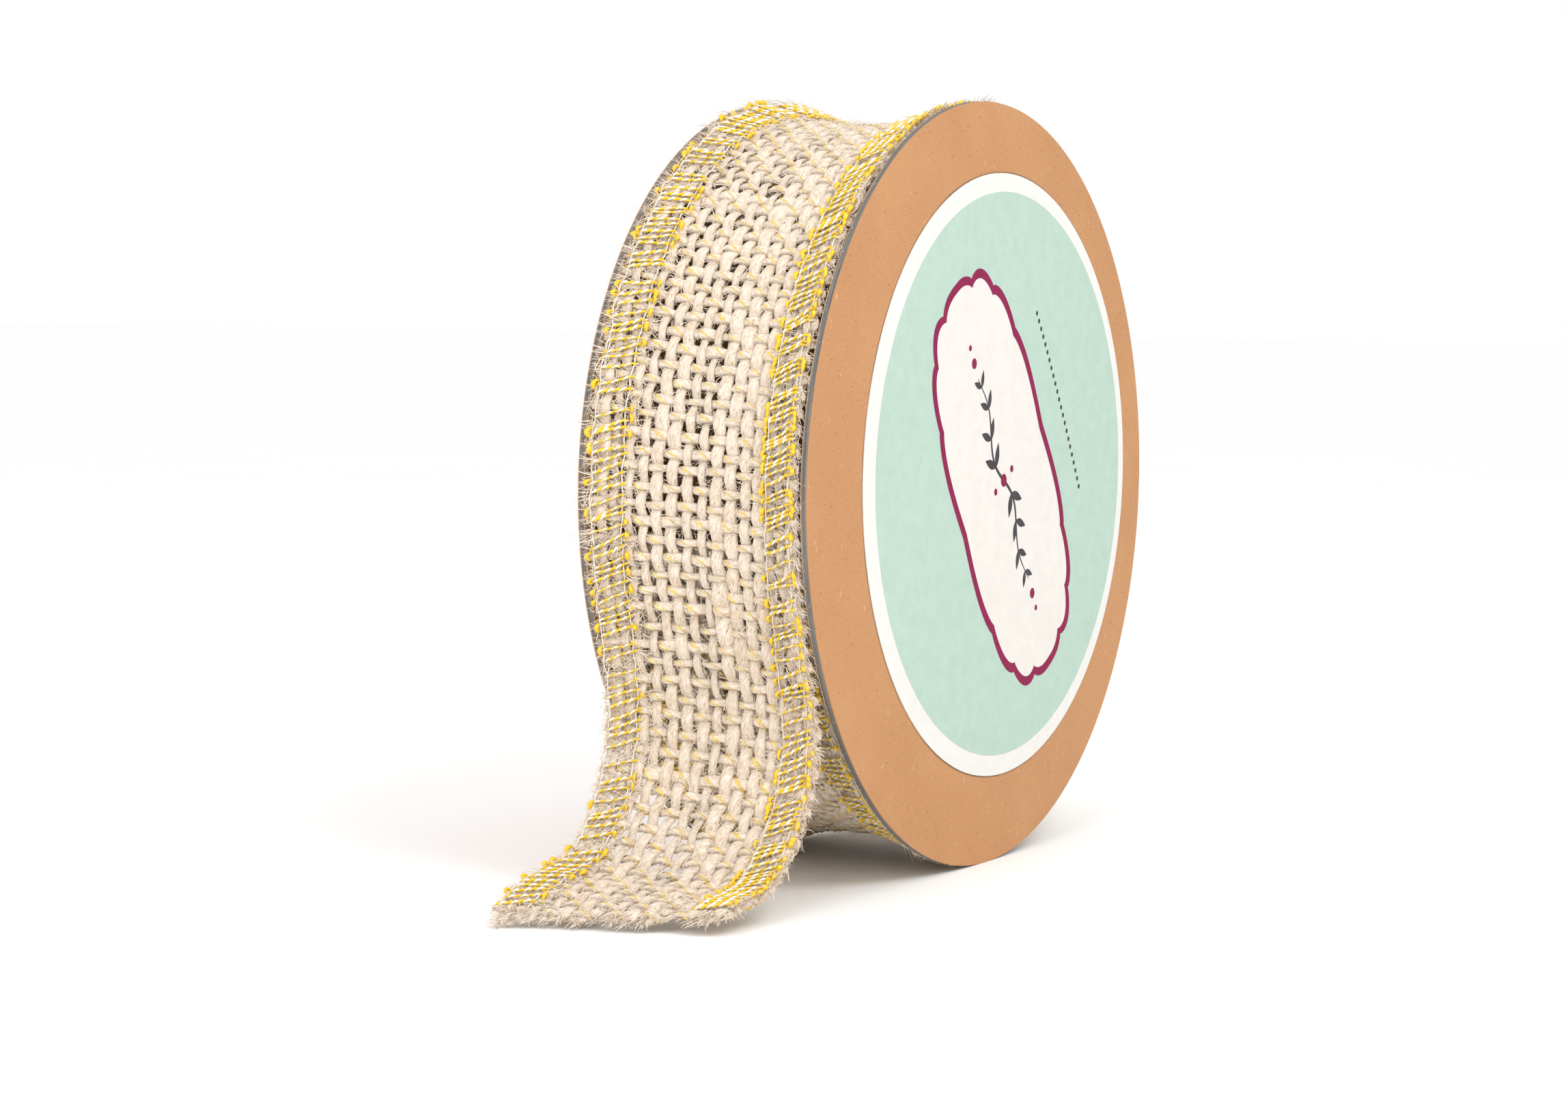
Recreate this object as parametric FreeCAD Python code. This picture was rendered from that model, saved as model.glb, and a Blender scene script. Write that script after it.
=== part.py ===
import FreeCAD, Part
import math
import os

# A paperboard reel of jute ribbon. The reel's axis lies along Y, its centre is the origin, +Z is up.
# The labelled face looks along -Y. The free end of the ribbon hangs down on the -X side. Lengths in mm.

# Flanges
FLANGE_R = 63.5
BOARD_T = 0.9
KRAFT_T = 0.18
LINER_T = 0.12
GAP = 38.6

# Core. The kraft paper on each flange stops a little short of the bore's edge.
BORE_R = 12.0
FACE_HOLE_R = 12.6
CORE_R = 14.0
GLUE_T = 0.15

# Tape that holds the first end of the ribbon to the core
TAPE_T = 0.1
TAPE_HALF_WIDTH = 15.0
TAPE_ANGLE = 80.0

# Label, stuck on a little off the centre of the near flange
LABEL_R = 50.5
LABEL_T = 0.12
LABEL_X = 5.4
LABEL_Z = 1.3

# Ribbon: jute weave with an overlocked band along each edge
RIBBON_W = 38.0
JUTE_T = 1.5
THREAD_T = 0.35
BAND_IN = 11.4
BAND_OUT = 18.7
TURN_R = 61.85
TURN_SWEEP = 346.0
TURN_CLEAR = 0.3

# Free end: leaves the roll, hangs, then curls out along the ground
LEAVE_ANGLE = 14.0
HANG_R = 70.0
HANG_TO = 2.0
CURL_R = 24.0
CURL_SPLIT = 34.0
CURL_TO = 69.0
END_GAP = 0.3
TIP_RELIEF = 22.0

# Heights of the flange layers along the axis
LINER_IN = GAP / 2.0
BOARD_IN = LINER_IN + LINER_T
KRAFT_IN = BOARD_IN + BOARD_T
FACE_OUT = KRAFT_IN + KRAFT_T

# The turn of ribbon seen from outside, and the wound ribbon under it
TURN_IN = TURN_R - JUTE_T / 2.0
TURN_OUT = TURN_R + JUTE_T / 2.0
WOUND_OUT = TURN_IN - TURN_CLEAR


def disc(radius, hole, low, high, x=0.0, z=0.0):
    """Flat round layer between two heights on the Y axis, with a hole when hole is over zero."""
    along = FreeCAD.Vector(0, 1, 0)
    body = Part.makeCylinder(radius, high - low, FreeCAD.Vector(x, low, z), along)
    if hole > 0:
        body = body.cut(Part.makeCylinder(hole, high - low, FreeCAD.Vector(x, low, z), along))
    return body


def polar(centre, radius, degrees, y):
    """Point at an angle from +X towards +Z, seen with +Y pointing away."""
    angle = math.radians(degrees)
    return FreeCAD.Vector(centre[0] + radius * math.cos(angle), y, centre[1] + radius * math.sin(angle))


def curved_strip(centre, inner, outer, start, end, low, high, end_slant=0.0):
    """Part of a thick-walled cylinder along Y. end_slant turns the outer corner of its start face."""
    middle = (start + end) / 2.0
    slant = math.degrees((outer - inner) * math.tan(math.radians(end_slant)) / outer)
    inner_start = polar(centre, inner, start, low)
    outer_start = polar(centre, outer, start - slant, low)
    inner_end = polar(centre, inner, end, low)
    outer_end = polar(centre, outer, end, low)
    edges = [
        Part.Arc(inner_start, polar(centre, inner, middle, low), inner_end).toShape(),
        Part.LineSegment(inner_end, outer_end).toShape(),
        Part.Arc(outer_end, polar(centre, outer, middle, low), outer_start).toShape(),
        Part.LineSegment(outer_start, inner_start).toShape(),
    ]
    face = Part.Face(Part.Wire(edges))
    return face.extrude(FreeCAD.Vector(0, high - low, 0))


def flat_strip(start, heading, length, low_side, high_side, low, high):
    """Straight slab that goes on from a point, between two offsets to its upper side."""
    along = FreeCAD.Vector(-math.sin(heading), 0, -math.cos(heading))
    across = FreeCAD.Vector(-math.cos(heading), 0, math.sin(heading))
    base = FreeCAD.Vector(start[0], low, start[1])
    corners = [
        base + across * low_side,
        base + across * high_side,
        base + across * high_side + along * length,
        base + across * low_side + along * length,
    ]
    face = Part.Face(Part.makePolygon(corners + [corners[0]]))
    return face.extrude(FreeCAD.Vector(0, high - low, 0))


def joined(first, second):
    """Two strips that share an end face, as one solid."""
    return first.fuse(second).removeSplitter()


def save(name, shape):
    """Write one solid."""
    solid = shape.Solids[0]
    solid.exportStep("parts/" + name + ".step")


# Line that the middle of the free end follows. Headings are measured from straight down towards -X.
leave = math.radians(LEAVE_ANGLE)
leave_point = (-TURN_R * math.cos(leave), -TURN_R * math.sin(leave))
hang_centre = (leave_point[0] - HANG_R * math.cos(leave), leave_point[1] - HANG_R * math.sin(leave))
hang_to = math.radians(HANG_TO)
curl_centre = (
    hang_centre[0] + (HANG_R - CURL_R) * math.cos(hang_to),
    hang_centre[1] - (HANG_R - CURL_R) * math.sin(hang_to),
)
curl_to = math.radians(CURL_TO)
flat_start = (
    curl_centre[0] + CURL_R * math.cos(curl_to),
    curl_centre[1] - CURL_R * math.sin(curl_to),
)
flat_length = (flat_start[1] - JUTE_T / 2.0 * math.sin(curl_to) + FLANGE_R) / math.cos(curl_to)

# Angles left open at the two places where the ribbon bends
turn_gap = math.degrees(END_GAP / TURN_R)
hang_gap = math.degrees(END_GAP / HANG_R)
curl_gap = math.degrees(END_GAP / CURL_R)


def turn_layer(inner, outer, low, high):
    """The outermost turn, from where the free end leaves it, over the top and back under."""
    first = 180.0 + LEAVE_ANGLE - turn_gap
    last = first - TURN_SWEEP
    halfway = first - TURN_SWEEP / 2.0
    upper = curved_strip((0, 0), inner, outer, halfway, first, low, high)
    lower = curved_strip((0, 0), inner, outer, last, halfway, low, high)
    return joined(upper, lower)


def tail_layer(low_side, high_side, low, high):
    """Upper part of the free end, between two offsets towards its visible side."""
    hang = curved_strip(
        hang_centre, HANG_R - high_side, HANG_R - low_side, -HANG_TO, LEAVE_ANGLE - hang_gap, low, high
    )
    curl = curved_strip(
        curl_centre, CURL_R - high_side, CURL_R - low_side, -CURL_SPLIT, -HANG_TO, low, high
    )
    return joined(hang, curl)


def tip_layer(low_side, high_side, low, high, slant):
    """Last part of the free end: the rest of the curl and the flat end on the ground."""
    start = -CURL_SPLIT - curl_gap
    inner = CURL_R - high_side
    outer = CURL_R - low_side
    if slant > 0:
        relief = math.degrees((JUTE_T / 2.0 + THREAD_T - high_side) / CURL_R * math.tan(math.radians(slant)))
        start = start - relief
    middle = (start - CURL_TO) / 2.0
    wide = math.degrees((outer - inner) * math.tan(math.radians(slant)) / outer)
    corners = [
        polar(curl_centre, inner, start, low),
        polar(curl_centre, inner, -CURL_TO, low),
        polar(curl_centre, outer, -CURL_TO, low),
        polar(curl_centre, outer, start - wide, low),
    ]
    edges = [
        Part.Arc(corners[0], polar(curl_centre, inner, middle, low), corners[1]).toShape(),
        Part.LineSegment(corners[1], corners[2]).toShape(),
        Part.Arc(corners[2], polar(curl_centre, outer, middle, low), corners[3]).toShape(),
        Part.LineSegment(corners[3], corners[0]).toShape(),
    ]
    curl = Part.Face(Part.Wire(edges)).extrude(FreeCAD.Vector(0, high - low, 0))
    flat = flat_strip(flat_start, curl_to, flat_length, low_side, high_side, low, high)
    return joined(curl, flat)


os.makedirs("parts", exist_ok=True)

# Paper-faced board flanges, one each side of the ribbon
for side, sign in (("near", -1), ("far", 1)):
    layers = (
        ("_flange_inner_paper", LINER_IN, BOARD_IN, BORE_R),
        ("_flange_board", BOARD_IN, KRAFT_IN, BORE_R),
        ("_flange_kraft_face", KRAFT_IN, FACE_OUT, FACE_HOLE_R),
    )
    for name, inside, outside, hole in layers:
        heights = sorted((sign * inside, sign * outside))
        save(side + name, disc(FLANGE_R, hole, heights[0], heights[1]))
    glue = sorted((sign * LINER_IN, sign * (LINER_IN - GLUE_T)))
    save(side + "_core_glue_ring", disc(CORE_R, BORE_R, glue[0], glue[1]))

# Core tube between the two glue rings
core_half = LINER_IN - GLUE_T
save("core_tube", disc(CORE_R, BORE_R, -core_half, core_half))

# Round paper label over the near end of the bore
save("face_label", disc(LABEL_R, 0, -FACE_OUT - LABEL_T, -FACE_OUT, LABEL_X, LABEL_Z))

# Tape over the first end of the ribbon
save(
    "starter_tape",
    curved_strip((0, 0), CORE_R, CORE_R + TAPE_T, 0, TAPE_ANGLE, -TAPE_HALF_WIDTH, TAPE_HALF_WIDTH),
)

# Wound ribbon under the outermost turn
half = RIBBON_W / 2.0
save("ribbon_windings", disc(WOUND_OUT, CORE_R + TAPE_T, -half, half))

# Outermost turn and free end, with the overlocking threads along both edges
jute_low = -JUTE_T / 2.0
jute_high = JUTE_T / 2.0
save("ribbon_outer_turn", turn_layer(TURN_IN, TURN_OUT, -half, half))
save("ribbon_tail", tail_layer(jute_low, jute_high, -half, half))
save("ribbon_tail_tip", tip_layer(jute_low, jute_high, -half, half, TIP_RELIEF))
for side, low, high in (("near", -BAND_OUT, -BAND_IN), ("far", BAND_IN, BAND_OUT)):
    save(side + "_overlock_turn", turn_layer(TURN_OUT, TURN_OUT + THREAD_T, low, high))
    save(side + "_overlock_tail", tail_layer(jute_high, jute_high + THREAD_T, low, high))
    save(side + "_overlock_tip", tip_layer(jute_high, jute_high + THREAD_T, low, high, TIP_RELIEF))
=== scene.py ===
import math

import bpy
import numpy as np
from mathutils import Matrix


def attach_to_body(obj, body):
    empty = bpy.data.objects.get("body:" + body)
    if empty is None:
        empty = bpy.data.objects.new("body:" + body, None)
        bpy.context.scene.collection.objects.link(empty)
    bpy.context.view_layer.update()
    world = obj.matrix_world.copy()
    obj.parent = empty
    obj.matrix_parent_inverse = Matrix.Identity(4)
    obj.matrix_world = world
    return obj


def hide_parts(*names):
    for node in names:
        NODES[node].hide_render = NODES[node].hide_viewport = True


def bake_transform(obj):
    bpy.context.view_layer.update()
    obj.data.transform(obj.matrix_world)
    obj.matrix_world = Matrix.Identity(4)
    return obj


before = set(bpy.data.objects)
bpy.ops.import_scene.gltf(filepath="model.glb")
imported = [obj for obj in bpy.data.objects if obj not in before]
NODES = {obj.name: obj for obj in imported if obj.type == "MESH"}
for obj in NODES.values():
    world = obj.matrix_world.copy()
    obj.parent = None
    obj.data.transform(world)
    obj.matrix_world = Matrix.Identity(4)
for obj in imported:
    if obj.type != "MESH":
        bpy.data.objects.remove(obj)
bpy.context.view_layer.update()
TAU = 2 * math.pi

# Lengths are in millimetres until a mesh is made. s runs along the ribbon: 0 where the free end leaves the
# roll, below 0 round the roll, above 0 down the free end. v runs across it, from near edge to far edge.
FLANGE_R = 63.5
FACE_Y = 20.5

# Fibres on the roll that lie further out along the axis than this are over a flange's rim
OVER_FLANGE_Y = 19.2

# Label on the near flange, a little off its centre
LABEL_T = 0.12
LABEL_R = 50.5
LABEL_AT = (5.4, 1.3)

# Line of the ribbon: its radius and angle where it leaves the roll, how much nearer the axis each millimetre
# of the roll lies, and the radii of the free end's hanging part and of its curl
LEAVE_R = 62.1
LEAVE = math.radians(14)
SPIRAL = 1.8 / 388
HANG_R = 70.0
CURL_R = 24.0
TAIL_LENGTH = 66.0

# Where the outer turn, the tail and the tip start, and where the cloth is cut
TURN_START = -392.0
TAIL_START = -8.0
TIP_START = 22.0
CUT_END = TAIL_LENGTH - 3

# Cloth and yarns
HALF_WIDTH = 19.0
WARPS = 15
WARP_PITCH = 2.6
WEFT_PITCH = 2.84
LIFT = 0.42
CLOTH_TOP = 0.86
BAND_FROM = 11.5
SAG = 2.1

# The threads on the cloth's underside show only past this place, where the free end is clear of the roll
UNDERSIDE_FROM = 6.0


# ---------------------------------------------------------------- the ribbon's path

def smooth(x):
    """0 below 0, 1 above 1, and an even rise between them."""
    x = np.clip(x, 0, 1)
    return x * x * (3 - 2 * x)


def tail_table():
    """Heading and position along the free end, from its curvature."""
    step = 0.05
    s = np.arange(0, TAIL_LENGTH + 12, step)
    bend = 1 / HANG_R + (1 / CURL_R - 1 / HANG_R) * smooth((s - 18.5) / 5)
    bend = bend * (1 - smooth((s - 46) / 5))
    heading = -LEAVE + np.concatenate([[0], np.cumsum(bend[:-1]) * step])
    x = -LEAVE_R * math.cos(LEAVE) + np.concatenate([[0], np.cumsum(-np.sin(heading[:-1])) * step])
    z = -LEAVE_R * math.sin(LEAVE) + np.concatenate([[0], np.cumsum(-np.cos(heading[:-1])) * step])
    return s, heading, x, z


TAIL = tail_table()


def line(s):
    """Point on the ribbon's middle line and the direction of its visible side, in the XZ plane."""
    s = np.asarray(s, float)
    back = np.minimum(s, 0)
    radius = LEAVE_R + SPIRAL * back
    angle = math.pi + LEAVE + np.log(radius / LEAVE_R) / SPIRAL
    heading = np.interp(s, TAIL[0], TAIL[1])
    on_roll = s <= 0
    x = np.where(on_roll, radius * np.cos(angle), np.interp(s, TAIL[0], TAIL[2]))
    z = np.where(on_roll, radius * np.sin(angle), np.interp(s, TAIL[0], TAIL[3]))
    nx = np.where(on_roll, np.cos(angle), -np.cos(heading))
    nz = np.where(on_roll, np.sin(angle), np.sin(heading))
    return x, z, nx, nz


def waves(x, seed, lengths):
    """Smooth noise: a few sine waves with seeded phases, at most 1 high in all."""
    rng = np.random.default_rng(seed)
    total = np.zeros(np.shape(x))
    for length in lengths:
        total = total + np.sin(TAU * np.asarray(x) / length + rng.uniform(0, TAU))
    return total / len(lengths)


def bow(s, v):
    """How far the middle of the ribbon's width sinks below its edges."""
    depth = SAG * (1 - 0.75 * smooth((s - 5) / 35)) + 0.25 * waves(s, 5, (71, 43))
    return depth * (1 - (v / HALF_WIDTH) ** 2)


def place(s, v, h):
    """Point on the object for a point of the cloth: along it, across it and above its middle layer.
    The free end lies a little askew, its edges ripple, its far corner lifts and its near edge droops."""
    s, v, h = np.broadcast_arrays(np.asarray(s, float), v, h)
    slant = 0.27 * smooth((s - 25) / 40)
    s = s + slant * v
    x, z, nx, nz = line(s)
    edge = (np.abs(v) / HALF_WIDTH) ** 4
    near_ripple = 1.1 + 0.45 * waves(s, 8, (23, 37, 9))
    far_ripple = 1.55 + 0.4 * waves(s, 9, (19, 31, 11))
    ripple = edge * np.where(v < 0, near_ripple, far_ripple)
    corner = smooth((s - 42) / 22) * (0.4 + 0.9 * (v / HALF_WIDTH + 1))
    droop = (0.7 + 1.1 * (1 - v / HALF_WIDTH)) * smooth((s - 8) / 14) * smooth((60 - s) / 14)
    up = h - bow(s, v) + ripple * (1 - 0.6 * smooth(s / 15)) + corner - droop
    return np.stack([x + nx * up, v + 0 * x, z + nz * up], -1)


# ---------------------------------------------------------------- mesh building

def build(name, parts, materials):
    """Mesh object from parts, each (points in mm, quads, material index or indices, surface coordinates).
    Nothing goes below the floor that the reel stands on."""
    points, quads, slots, marks = [], [], [], []
    count = 0
    for pts, faces, slot, mark in parts:
        points.append(pts.reshape(-1, 3))
        quads.append(faces + count)
        slots.append(np.broadcast_to(slot, (len(faces),)))
        marks.append(mark.reshape(-1, 3))
        count += len(points[-1])
    points = np.concatenate(points) * 0.001
    just_above_floor = -(FLANGE_R - 0.04) / 1000
    points[:, 2] = np.maximum(points[:, 2], just_above_floor)
    quads = np.concatenate(quads)
    slots = np.concatenate(slots)
    mesh = bpy.data.meshes.new(name)
    mesh.vertices.add(len(points))
    mesh.vertices.foreach_set("co", points.astype(np.float32).ravel())
    mesh.loops.add(quads.size)
    mesh.loops.foreach_set("vertex_index", quads.astype(np.int32).ravel())
    mesh.polygons.add(len(quads))
    mesh.polygons.foreach_set("loop_start", np.arange(0, quads.size, 4, dtype=np.int32))
    mesh.polygons.foreach_set("loop_total", np.full(len(quads), 4, np.int32))
    mesh.polygons.foreach_set("material_index", slots.astype(np.int32))
    mesh.update(calc_edges=True)
    mesh.shade_smooth()
    fibre = mesh.attributes.new("fibre", "FLOAT_VECTOR", "POINT")
    fibre.data.foreach_set("vector", np.concatenate(marks).astype(np.float32).ravel())
    for material in materials:
        mesh.materials.append(material)
    obj = bpy.data.objects.new(name, mesh)
    bpy.context.scene.collection.objects.link(obj)
    return obj


def in_slot(shape, slot=0):
    """A part for build() from points, quads and surface coordinates, all in one material."""
    pts, quads, mark = shape
    return pts, quads, slot, mark


def grid_quads(tubes, rings, sides, wrap):
    """Quads of several tubes or strips, each with so many rings of so many points."""
    across = sides if wrap else sides - 1
    t, r, a = np.meshgrid(np.arange(tubes), np.arange(rings - 1), np.arange(across), indexing="ij")
    b = (a + 1) % sides
    base = t * rings * sides
    this, following = base + r * sides, base + (r + 1) * sides
    return np.stack([this + a, this + b, following + b, following + a], -1).reshape(-1, 4)


def guard_rings(rows):
    """Adds a ring just inside each end, so that the shading stays straight up to the cap."""
    first = 0.98 * rows[:, :1] + 0.02 * rows[:, 1:2]
    last = 0.98 * rows[:, -1:] + 0.02 * rows[:, -2:-1]
    return np.concatenate([rows[:, :1], first, rows[:, 1:-1], last, rows[:, -1:]], 1)


def end_quads(tubes, rings, sides):
    """Quads that close both ends of each tube."""
    k = np.arange(sides // 2 - 1)
    cap = np.stack([k, k + 1, sides - k - 2, sides - k - 1], -1)
    ends = np.concatenate([cap[:, ::-1], cap + (rings - 1) * sides])
    return (np.arange(tubes)[:, None, None] * rings * sides + ends).reshape(-1, 4)


def tubes(centre, wide, high, sides, across, tone, lobes=0, twist=0.0, lobe_depth=0.0):
    """Tubes round lines of points. centre is (tubes, rings, 3); wide and high are half sizes of the section,
    across is the direction that wide is measured in, and lobes are the plies of a twisted thread. Gives
    points, quads, and surface coordinates: round the tube, along it, and its tone."""
    centre = np.asarray(centre, float)
    ahead = np.gradient(centre, axis=1)
    ahead /= np.linalg.norm(ahead, axis=-1, keepdims=True) + 1e-12
    across = np.broadcast_to(across, centre.shape)
    up = np.cross(across, ahead)
    up /= np.linalg.norm(up, axis=-1, keepdims=True) + 1e-12
    side = np.cross(ahead, up)
    steps = np.linalg.norm(np.diff(centre, axis=1), axis=-1)
    along = np.concatenate([np.zeros((len(centre), 1)), np.cumsum(steps, 1)], 1)
    turn = TAU * np.arange(sides) / sides
    angle = turn[None, None, :] + 0 * along[:, :, None]
    shape = 1.0
    if lobes:
        angle = angle + twist * along[:, :, None]
        shape = 1 + lobe_depth * np.cos(lobes * turn)[None, None, :]
    wide = np.broadcast_to(wide, along.shape)[:, :, None] * shape
    high = np.broadcast_to(high, along.shape)[:, :, None] * shape
    pts = centre[:, :, None] + side[:, :, None] * (wide * np.cos(angle))[..., None]
    pts = pts + up[:, :, None] * (high * np.sin(angle))[..., None]
    mark = np.zeros(pts.shape)
    mark[..., 0] = turn[None, None, :] * np.mean(wide)
    mark[..., 1] = along[:, :, None]
    mark[..., 2] = np.broadcast_to(tone, along.shape)[:, :, None]
    pts, mark = guard_rings(pts), guard_rings(mark)
    count, rings = pts.shape[:2]
    return pts, np.concatenate([grid_quads(count, rings, sides, True), end_quads(count, rings, sides)]), mark


# ---------------------------------------------------------------- the weave

# Warp yarns lie a little closer together towards the edges
from_middle = np.arange(WARPS) - (WARPS - 1) / 2
WARP_MIDDLE = 2.66 * from_middle - 0.0056 * from_middle**3

# How each yarn differs from the next: its place, thickness and tone, and the thick lumps spun into it
rng = np.random.default_rng(31)
weft_numbers = np.arange(math.ceil(TURN_START / WEFT_PITCH), math.floor(CUT_END / WEFT_PITCH) + 1)
weft_jitter = rng.uniform(-0.3, 0.3, len(weft_numbers))
weft_bulk = np.clip(rng.normal(1.0, 0.13, len(weft_numbers)), 0.78, 1.35)
weft_bulk[rng.integers(0, len(weft_numbers), 12)] = 1.5
weft_tone = rng.uniform(-1, 1, len(weft_numbers))
warp_bulk = np.clip(rng.normal(1.0, 0.14, WARPS), 0.8, 1.3)
warp_tone = rng.uniform(-1, 1, WARPS)
slubs = [(rng.uniform(TURN_START, TAIL_LENGTH), rng.uniform(0.25, 0.6), rng.uniform(3, 8)) for _ in range(70)]
slub_owner = rng.integers(0, WARPS, len(slubs))


def warp_v(j, s):
    """Where warp yarn j runs across the ribbon."""
    return WARP_MIDDLE[j] + 0.36 * waves(s, 100 + j, (8, 17, 29, 61))


def weft_s(i, v):
    """Where weft yarn number i lies along the ribbon."""
    slope = -0.075 + 0.05 * math.sin(weft_numbers[i] / 19 + 1)
    return (weft_numbers[i] * WEFT_PITCH + weft_jitter[i] + slope * v - 0.0018 * v * np.abs(v)
            + 0.16 * waves(v, 300 + i, (9, 17)))


crossing_s = np.array([weft_s(i, WARP_MIDDLE) for i in range(len(weft_numbers))])


def fray(j):
    """How far warp yarn j sticks out past the last weft's place at the free end."""
    return float(np.random.default_rng(50 + j).uniform(-0.6, 2.2))


def warp_yarns(start, end, step=0.71, frayed=False):
    """Tubes for the warp yarns between two places along the ribbon."""
    count = max(8, int(round((end - start) / step)) + 1)
    centres, wides, highs, tones = [], [], [], []
    for j in range(WARPS):
        stop = end + (fray(j) if frayed else 0)
        s = np.linspace(start - 0.3, stop, count)
        v = warp_v(j, s)
        phase = np.interp(s, crossing_s[:, j], weft_numbers)
        inside = 1 - smooth((s - crossing_s[-1, j]) / 2)
        h = LIFT * np.cos(math.pi * (phase + j)) * inside - 0.3 * (1 - inside)
        bulk = warp_bulk[j] * (1 - 0.18 * (abs(WARP_MIDDLE[j]) > BAND_FROM))
        bulk = bulk * (1 + 0.27 * waves(s, 200 + j, (5, 11, 17, 41)))
        for (where, size, length), owner in zip(slubs, slub_owner):
            if owner == j:
                bulk = bulk * (1 + size * np.exp(-(((s - where) / length) ** 2)))
        if frayed:
            bulk = bulk * (1 + 0.35 * smooth((s - stop + 3.5) / 2))
            bulk = bulk * (1 - 0.75 * smooth((s - stop + 0.9) / 0.9))
        centres.append(place(s, v, h))
        wides.append(0.9 * bulk)
        highs.append(0.45 * np.minimum(bulk, 1.15))
        tones.append(warp_tone[j] + 0.5 * waves(s, 400 + j, (23, 47)))
    across = np.array([0.0, 1.0, 0.0])
    return tubes(np.array(centres), np.array(wides), np.array(highs), 8, across, np.array(tones))


def weft_yarns(start, end):
    """Tubes for the weft yarns whose middles lie between two places: the shape, which yarns they are, the
    places across the ribbon, and each yarn's place along, height and thickness there."""
    chosen = [i for i in range(len(weft_numbers)) if start <= weft_numbers[i] * WEFT_PITCH < end]
    v = np.linspace(-18.75, 18.75, 61)
    centres, wides, highs, tones, lines = [], [], [], [], []
    for i in chosen:
        s = weft_s(i, v)
        middle = weft_s(i, WARP_MIDDLE)
        crossings = [float(warp_v(j, middle[j])) for j in range(WARPS)]
        outside = np.minimum(0, v - crossings[0]) + np.maximum(0, v - crossings[-1])
        phase = np.interp(v, crossings, np.arange(WARPS)) + outside / WARP_PITCH
        h = -LIFT * np.cos(math.pi * (phase + weft_numbers[i]))
        bulk = weft_bulk[i] * (1 - 0.2 * smooth((np.abs(v) - 11.3) / 1.5))
        bulk = bulk * (1 + 0.27 * waves(v, 500 + i, (6, 11, 15)))
        flare = 1 + 0.5 * smooth((np.abs(v) - 17.2) / 1.1)
        bulk = bulk * flare * (1 - 0.8 * smooth((np.abs(v) - 18.35) / 0.4))
        combed = 0.9 * smooth((np.abs(v) - 17) / 2)
        centres.append(place(s + combed, v, h))
        wides.append(0.74 * bulk)
        highs.append(0.42 * np.minimum(bulk, 1.2))
        tones.append(weft_tone[i] + 0.4 * waves(v, 700 + i, (13,)))
        lines.append((s, h, bulk))
    ahead = place(weft_numbers[chosen][:, None] * WEFT_PITCH + 0.5, v[None, :], 0.0)
    behind = place(weft_numbers[chosen][:, None] * WEFT_PITCH - 0.5, v[None, :], 0.0)
    across = ahead - behind
    made = tubes(np.array(centres), np.array(wides), np.array(highs), 8, across, np.array(tones))
    return made, chosen, v, lines


def lurex_slivers(chosen, v, lines):
    """Flat gold strips wound round the weft yarns."""
    fine = np.linspace(-18.2, 18.2, 150)
    pts, marks = [], []
    for i, (s, h, bulk) in zip(chosen, lines):
        turn = math.pi * (fine / WARP_PITCH + weft_numbers[i] + 0.5) + 0.7 * waves(fine, 900 + i, (11, 23))
        size = np.interp(fine, v, bulk)
        rows = []
        for side in (-0.36, 0.36):
            angle = turn + side
            along = np.interp(fine, v, s) + 0.74 * size * np.cos(angle)
            above = np.interp(fine, v, h) + 0.47 * np.minimum(size, 1.2) * np.sin(angle)
            rows.append(place(along, fine + side * 1.6, above))
        pts.append(np.stack(rows, 1))
        marks.append(np.zeros((len(fine), 2, 3)))
    return np.array(pts), grid_quads(len(chosen), len(fine), 2, False), np.array(marks)


def hairs(count, start, end, seed, reach, rise, width, bits, beyond=0.0):
    """Loose fibres: thin tapering strips that leave the yarns, past a distance from the middle of the ribbon,
    and curl back over them."""
    r = np.random.default_rng(seed)
    s0 = r.uniform(start, end, count)
    v0 = r.uniform(-18.6, 18.6, count)
    v0 = np.sign(v0) * (beyond + np.abs(v0) * (1 - beyond / 18.6))
    h0 = r.uniform(0.1, CLOTH_TOP - 0.05, count) + 0.3 * (np.abs(v0) > BAND_FROM) * r.uniform(0, 1, count)
    heading = r.uniform(0, TAU, count)
    curl = r.normal(0, 1.0, count)
    length = r.uniform(*reach, count) * r.uniform(0.5, 1, count)
    climb = r.uniform(-0.1, rise, count)
    t = np.linspace(0, 1, bits + 1)[None, :]
    angle = heading[:, None] + curl[:, None] * t
    step = length[:, None] / bits
    ds = np.cumsum(np.cos(angle) * step, 1) - np.cos(angle[:, :1]) * step
    dv = np.cumsum(np.sin(angle) * step, 1) - np.sin(angle[:, :1]) * step
    h = h0[:, None] + climb[:, None] * length[:, None] * np.sin(t * 2.2) * 0.7
    v = np.clip(v0[:, None] + dv, -19.2, 19.2)
    middle = place(s0[:, None] + ds, v, h)
    half = width * r.uniform(0.5, 1.5, count)[:, None] * (1 - 0.75 * t)
    tilt = r.uniform(-1, 1, count)[:, None]
    side_s, side_v = -np.sin(angle) * half, np.cos(angle) * half
    left = place(s0[:, None] + ds + side_s, np.clip(v + side_v, -19.25, 19.25), h + tilt * half)
    pts = np.stack([2 * middle - left, left], 2)
    mark = np.zeros(pts.shape)
    mark[..., 1] = t[:, :, None] * 3
    mark[..., 2] = r.uniform(-1, 1, count)[:, None, None]
    return pts, grid_quads(count, bits + 1, 2, False), mark


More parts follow.
